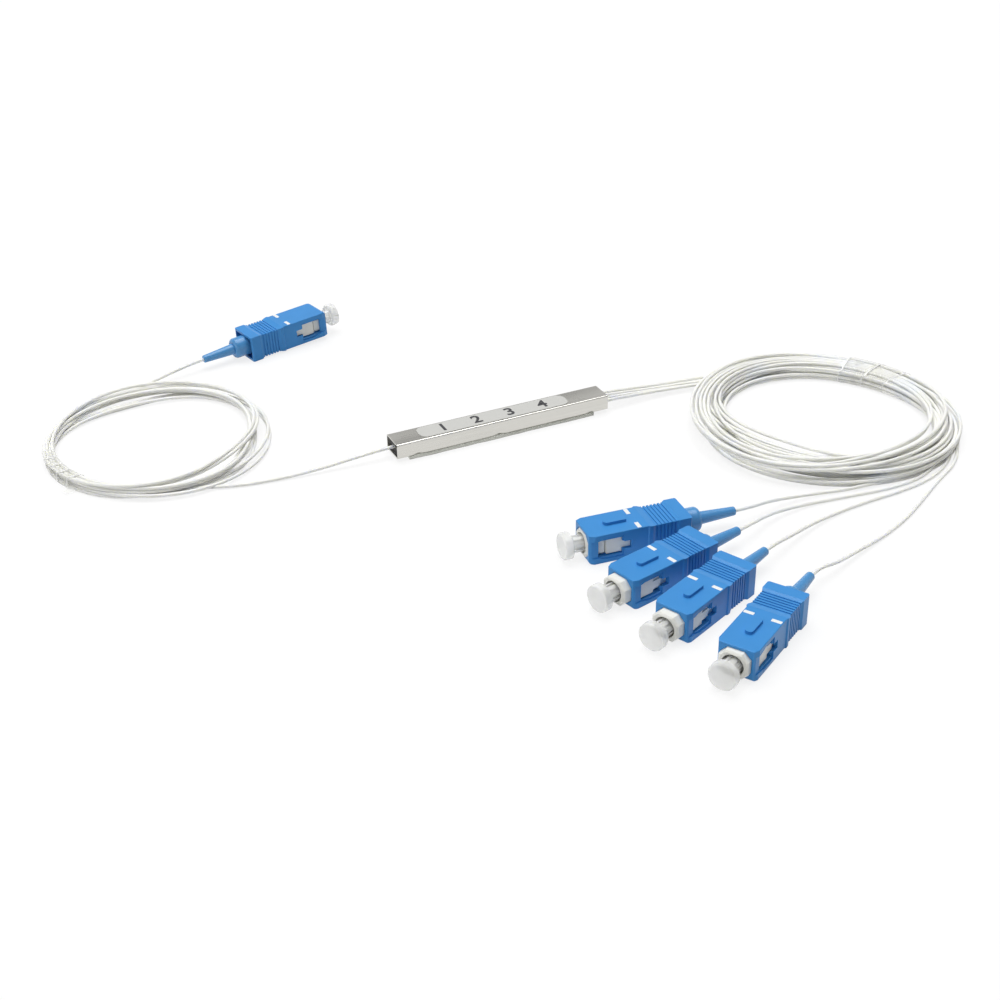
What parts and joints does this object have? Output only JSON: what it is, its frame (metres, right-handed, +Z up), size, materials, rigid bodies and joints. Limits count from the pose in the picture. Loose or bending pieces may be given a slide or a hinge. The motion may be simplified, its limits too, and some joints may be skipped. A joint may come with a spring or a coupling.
{
  "type": "plc fibre splitter",
  "caption": "Planar fibre splitter in a slim steel tube with coiled white pigtails that end in blue push-pull plugs with clear dust caps.",
  "frame": {"origin": "under the middle of the splitter module, on the surface that it lies on", "axes": "+X along the steel tube towards the outputs, +Z up"},
  "size_m": [0.221, 0.2061, 0.0085],
  "materials": {
    "steel": "satin drawn stainless steel",
    "clear_tape": "clear acrylic mounting tape",
    "label_white": "white film label",
    "potting": "dark flexible potting",
    "glass_chip": "polished silica chip",
    "glass_block": "polished glass block",
    "coated_fibre": "coated fibre",
    "blue_plastic": "moulded blue plastic",
    "white_plastic": "moulded white plastic",
    "zirconia": "polished white ceramic",
    "nickel": "nickel plated brass",
    "spring_steel": "stainless spring wire",
    "stop_plastic": "moulded dark plastic",
    "boot_blue": "soft blue elastomer",
    "clear_cap": "translucent cap plastic",
    "fibre_jacket": "smooth white jacket",
    "clear_film": "clear stretch film"
  },
  "bodies": {
    "splitter": {"steel_tube": "steel", "mounting_tape": "clear_tape", "label": "label_white", "input_end_plug": "potting", "output_end_plug": "potting", "splitter_chip": "glass_chip", "input_fibre_block": "glass_block", "output_fibre_block": "glass_block", "bare_fibres": "coated_fibre", "input_plug_frame": "white_plastic", "input_spring": "spring_steel", "input_stop_ring": "stop_plastic", "input_boot": "boot_blue", "output_1_plug_frame": "white_plastic", "output_1_spring": "spring_steel", "output_1_stop_ring": "stop_plastic", "output_1_boot": "boot_blue", "output_2_plug_frame": "white_plastic", "output_2_spring": "spring_steel", "output_2_stop_ring": "stop_plastic", "output_2_boot": "boot_blue", "output_3_plug_frame": "white_plastic", "output_3_spring": "spring_steel", "output_3_stop_ring": "stop_plastic", "output_3_boot": "boot_blue", "output_4_plug_frame": "white_plastic", "output_4_spring": "spring_steel", "output_4_stop_ring": "stop_plastic", "output_4_boot": "boot_blue", "input_lead": "fibre_jacket", "output_leads": "fibre_jacket", "input_coil": "fibre_jacket", "output_coil": "fibre_jacket", "input_tail": "fibre_jacket", "output_1_tail": "fibre_jacket", "output_2_tail": "fibre_jacket", "output_3_tail": "fibre_jacket", "output_4_tail": "fibre_jacket", "input_coil_wrap": "clear_film", "output_coil_wrap": "clear_film"},
    "input_sleeve": {"input_housing": "blue_plastic"},
    "input_core": {"input_ferrule": "zirconia", "input_ferrule_flange": "nickel"},
    "input_cap": {"input_dust_cap": "clear_cap"},
    "output_1_sleeve": {"output_1_housing": "blue_plastic"},
    "output_1_core": {"output_1_ferrule": "zirconia", "output_1_ferrule_flange": "nickel"},
    "output_1_cap": {"output_1_dust_cap": "clear_cap"},
    "output_2_sleeve": {"output_2_housing": "blue_plastic"},
    "output_2_core": {"output_2_ferrule": "zirconia", "output_2_ferrule_flange": "nickel"},
    "output_2_cap": {"output_2_dust_cap": "clear_cap"},
    "output_3_sleeve": {"output_3_housing": "blue_plastic"},
    "output_3_core": {"output_3_ferrule": "zirconia", "output_3_ferrule_flange": "nickel"},
    "output_3_cap": {"output_3_dust_cap": "clear_cap"},
    "output_4_sleeve": {"output_4_housing": "blue_plastic"},
    "output_4_core": {"output_4_ferrule": "zirconia", "output_4_ferrule_flange": "nickel"},
    "output_4_cap": {"output_4_dust_cap": "clear_cap"}
  },
  "joints": [
    {"name": "input_housing_slide", "type": "slide", "parent": "splitter", "child": "input_sleeve", "axis": [-0.9792, -0.1974, -0.0476], "range_m": [0, 0.002]},
    {"name": "input_ferrule_float", "type": "slide", "parent": "splitter", "child": "input_core", "axis": [-0.9792, -0.1974, -0.0476], "range_m": [0, 0.002], "stiffness_N_per_m": 1000, "deforming": ["input_spring"]},
    {"name": "input_cap_pull", "type": "slide", "parent": "splitter", "child": "input_cap", "axis": [0.9792, 0.1974, 0.0476], "range_m": [0, 0.015]},
    {"name": "output_1_housing_slide", "type": "slide", "parent": "splitter", "child": "output_1_sleeve", "axis": [0.9947, -0.1028, 0], "range_m": [0, 0.002]},
    {"name": "output_1_ferrule_float", "type": "slide", "parent": "splitter", "child": "output_1_core", "axis": [0.9947, -0.1028, 0], "range_m": [0, 0.002], "stiffness_N_per_m": 1000, "deforming": ["output_1_spring"]},
    {"name": "output_1_cap_pull", "type": "slide", "parent": "splitter", "child": "output_1_cap", "axis": [-0.9947, 0.1028, 0], "range_m": [0, 0.015]},
    {"name": "output_2_housing_slide", "type": "slide", "parent": "splitter", "child": "output_2_sleeve", "axis": [0.9736, 0.2284, 0], "range_m": [-0.0018, 0.0002]},
    {"name": "output_2_ferrule_float", "type": "slide", "parent": "splitter", "child": "output_2_core", "axis": [0.9736, 0.2284, 0], "range_m": [0, 0.002], "stiffness_N_per_m": 1000, "deforming": ["output_2_spring"]},
    {"name": "output_2_cap_pull", "type": "slide", "parent": "splitter", "child": "output_2_cap", "axis": [-0.9736, -0.2284, 0], "range_m": [0, 0.015]},
    {"name": "output_3_housing_slide", "type": "slide", "parent": "splitter", "child": "output_3_sleeve", "axis": [0.9164, 0.4003, 0], "range_m": [-0.002, 0]},
    {"name": "output_3_ferrule_float", "type": "slide", "parent": "splitter", "child": "output_3_core", "axis": [0.9164, 0.4003, 0], "range_m": [0, 0.002], "stiffness_N_per_m": 1000, "deforming": ["output_3_spring"]},
    {"name": "output_3_cap_pull", "type": "slide", "parent": "splitter", "child": "output_3_cap", "axis": [-0.9164, -0.4003, 0], "range_m": [0, 0.015]},
    {"name": "output_4_housing_slide", "type": "slide", "parent": "splitter", "child": "output_4_sleeve", "axis": [0.8563, 0.5165, 0], "range_m": [-0.0012, 0.0008]},
    {"name": "output_4_ferrule_float", "type": "slide", "parent": "splitter", "child": "output_4_core", "axis": [0.8563, 0.5165, 0], "range_m": [0, 0.002], "stiffness_N_per_m": 1000, "deforming": ["output_4_spring"]},
    {"name": "output_4_cap_pull", "type": "slide", "parent": "splitter", "child": "output_4_cap", "axis": [-0.8563, -0.5165, 0], "range_m": [0, 0.015]}
  ]
}
